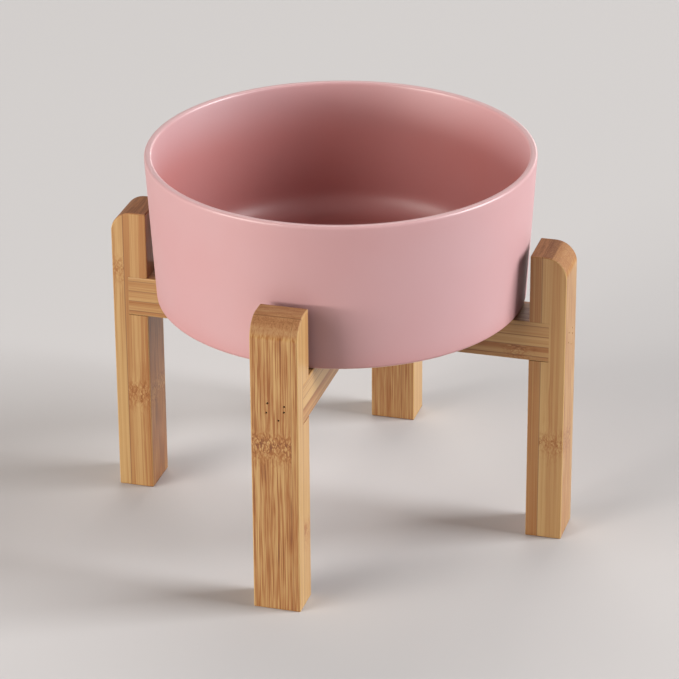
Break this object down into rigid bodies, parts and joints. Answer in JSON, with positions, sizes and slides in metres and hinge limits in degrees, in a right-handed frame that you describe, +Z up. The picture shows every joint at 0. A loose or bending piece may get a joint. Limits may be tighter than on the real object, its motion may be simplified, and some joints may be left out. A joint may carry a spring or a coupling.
{
  "type": "pet bowl with stand",
  "caption": "Straight-sided round ceramic feeding bowl that lifts out of a raised bamboo stand, whose upright legs are housed on a halved cross of rails.",
  "frame": {"origin": "on the floor under the centre of the stand", "axes": "+Z up along the bowl's axis, -Y towards the front leg, +X towards the right leg"},
  "size_m": [0.2424, 0.2424, 0.2012],
  "materials": {
    "bowl_glaze": "matte glaze",
    "bamboo": "clear satin",
    "pin_steel": "dull"
  },
  "bodies": {
    "lower_frame": {"rail_lower": "bamboo", "leg_left": "bamboo", "leg_right": "bamboo", "pins_left": "pin_steel", "pins_right": "pin_steel"},
    "upper_frame": {"rail_upper": "bamboo", "leg_front": "bamboo", "leg_back": "bamboo", "pins_front": "pin_steel", "pins_back": "pin_steel"},
    "bowl_body": {"bowl": "bowl_glaze"}
  },
  "joints": [
    {"name": "frame_lift", "type": "slide", "parent": "lower_frame", "child": "upper_frame", "axis": [0, 0, 1], "range_m": [0, 0.165]},
    {"name": "bowl_lift", "type": "slide", "parent": "upper_frame", "child": "bowl_body", "axis": [0, 0, 1], "range_m": [0, 0.05]}
  ]
}
